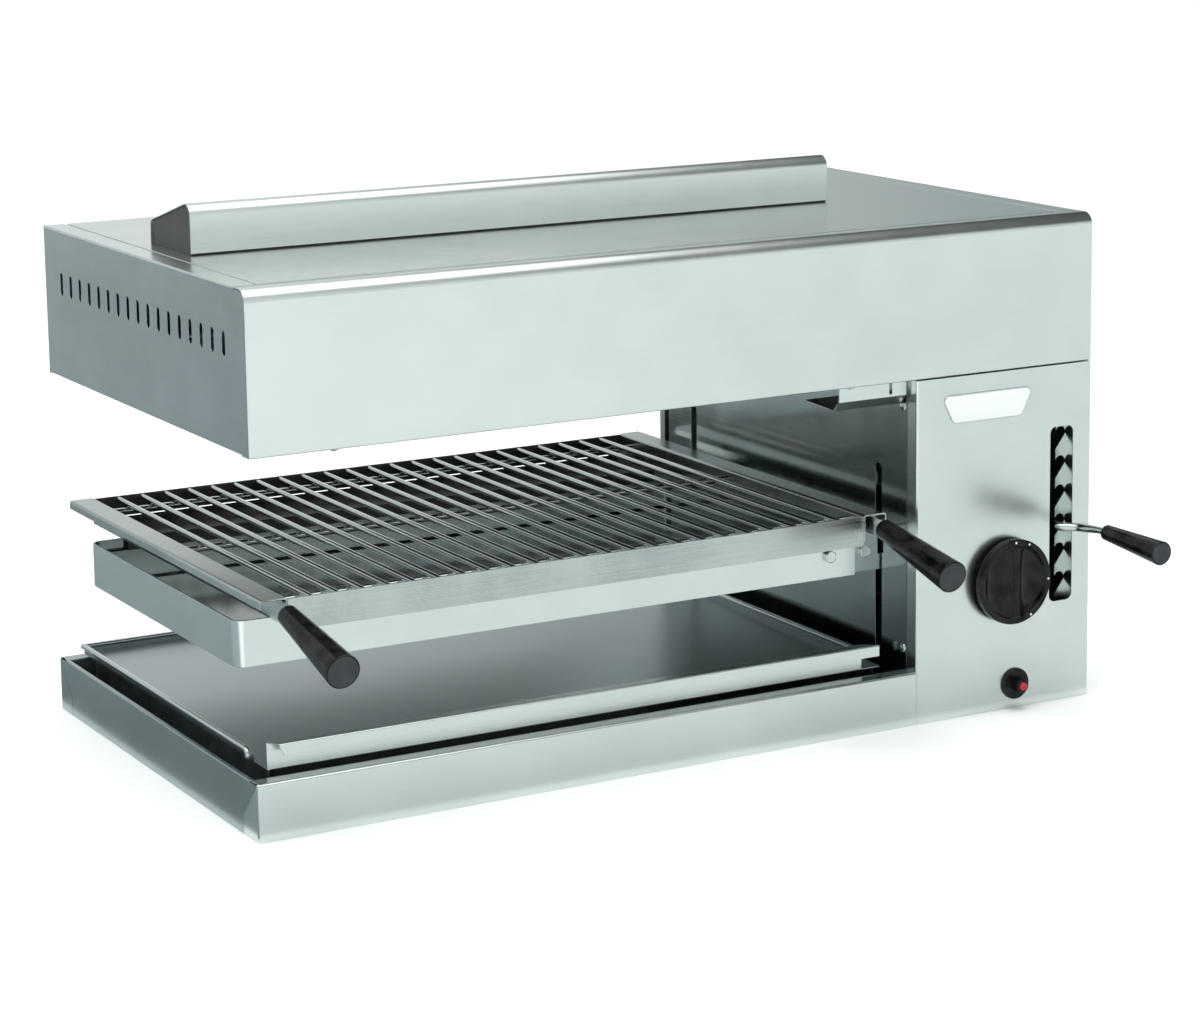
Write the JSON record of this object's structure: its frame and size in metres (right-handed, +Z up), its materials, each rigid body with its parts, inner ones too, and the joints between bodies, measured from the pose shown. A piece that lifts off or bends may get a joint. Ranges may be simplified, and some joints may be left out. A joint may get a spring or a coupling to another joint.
{
  "type": "gas salamander grill",
  "caption": "Counter-top gas salamander for melting cheese: a hood with downward burners over a grate that rides up and down a side column, with a crumb tray in the base.",
  "frame": {"origin": "middle of the base's underside, halfway across the hood's width and the body's depth", "axes": "+X to the right towards the control column, +Y to the back, +Z up"},
  "size_m": [0.8026, 0.5956, 0.478],
  "materials": {
    "brushed_stainless": "brushed",
    "casing_stainless": "fine brushed",
    "mirror_stainless": "bright annealed",
    "bright_rod": "bright",
    "zinc_steel": "zinc plated",
    "burner_ceramic": "matt ceramic",
    "brass": "turned",
    "copper": "drawn copper pipe",
    "phenolic": "gloss black",
    "white_badge": "domed, blank",
    "porcelain": "glazed ceramic",
    "lead_sleeve": "silicone"
  },
  "bodies": {
    "frame": {"hood_shell": "brushed_stainless", "hood_left_end": "casing_stainless", "hood_right_end": "casing_stainless", "hood_back": "casing_stainless", "top_panel": "brushed_stainless", "flue_cover": "brushed_stainless", "flue_end_caps": "casing_stainless", "hood_bolts": "zinc_steel", "control_panel": "brushed_stainless", "badge_plate": "white_badge", "column_inner_wall": "mirror_stainless", "wall_screws": "zinc_steel", "column_right_side": "casing_stainless", "column_back": "casing_stainless", "column_top_plate": "casing_stainless", "base_front": "brushed_stainless", "base_left_side": "casing_stainless", "base_back": "casing_stainless", "base_floor": "casing_stainless", "tray_runners": "casing_stainless", "comb_plate": "brushed_stainless", "burner_housings": "casing_stainless", "ceramic_tiles": "burner_ceramic", "burner_rails": "zinc_steel", "mixing_tubes": "zinc_steel", "injectors": "brass", "gas_manifold": "copper", "gas_inlet_pipe": "brass", "gas_tap": "brass", "thermocouple": "copper", "igniter_electrode": "porcelain", "igniter_lead": "lead_sleeve", "igniter_guard": "brushed_stainless", "piezo_igniter": "phenolic", "guide_rods": "bright_rod", "rod_brackets": "zinc_steel", "balance_springs": "zinc_steel"},
    "carriage": {"carriage_frame": "brushed_stainless", "drip_pan": "casing_stainless", "carriage_arms": "brushed_stainless", "carriage_bolts": "zinc_steel", "slider_plate": "zinc_steel", "guide_blocks": "zinc_steel", "guide_bushes": "brass", "lever_bracket": "zinc_steel", "lever_pin": "zinc_steel"},
    "lever": {"lever_hub": "zinc_steel", "lever_rod": "bright_rod", "lever_grip": "phenolic"},
    "grate": {"grate_rails": "brushed_stainless", "grate_end_bars": "brushed_stainless", "grate_rods": "bright_rod", "grate_cross_bars": "bright_rod", "grate_tangs": "brushed_stainless", "grate_grips": "phenolic"},
    "tray": {"crumb_tray": "brushed_stainless"},
    "plug": {"tap_plug": "brass"},
    "knob": {"knob_spindle": "zinc_steel", "control_knob": "phenolic"},
    "button": {"igniter_button": "phenolic"}
  },
  "joints": [
    {"name": "carriage_lift", "type": "slide", "parent": "frame", "child": "carriage", "axis": [0, 0, 1], "range_m": [-0.0528, 0.0792], "deforming": ["balance_springs"]},
    {"name": "lever_swing", "type": "hinge", "parent": "carriage", "child": "lever", "pos_m": [0.3649, -0.025, 0.1592], "axis": [0, 0, 1], "range_deg": [0, 3.54]},
    {"name": "grate_slide", "type": "slide", "parent": "carriage", "child": "grate", "axis": [0, -1, 0], "range_m": [0, 0.45]},
    {"name": "tray_slide", "type": "slide", "parent": "frame", "child": "tray", "axis": [0, -1, 0], "range_m": [0, 0.43]},
    {"name": "knob_turn", "type": "hinge", "parent": "frame", "child": "plug", "pos_m": [0.312, -0.2, 0.1175], "axis": [0, -1, 0], "range_deg": [0, 180]},
    {"name": "knob_push", "type": "slide", "parent": "plug", "child": "knob", "axis": [0, 1, 0], "range_m": [0, 0.004], "stiffness_N_per_m": 1500, "springref_m": -0.003},
    {"name": "igniter_press", "type": "slide", "parent": "frame", "child": "button", "axis": [0, 1, 0], "range_m": [0, 0.005], "stiffness_N_per_m": 1500, "springref_m": -0.003}
  ]
}
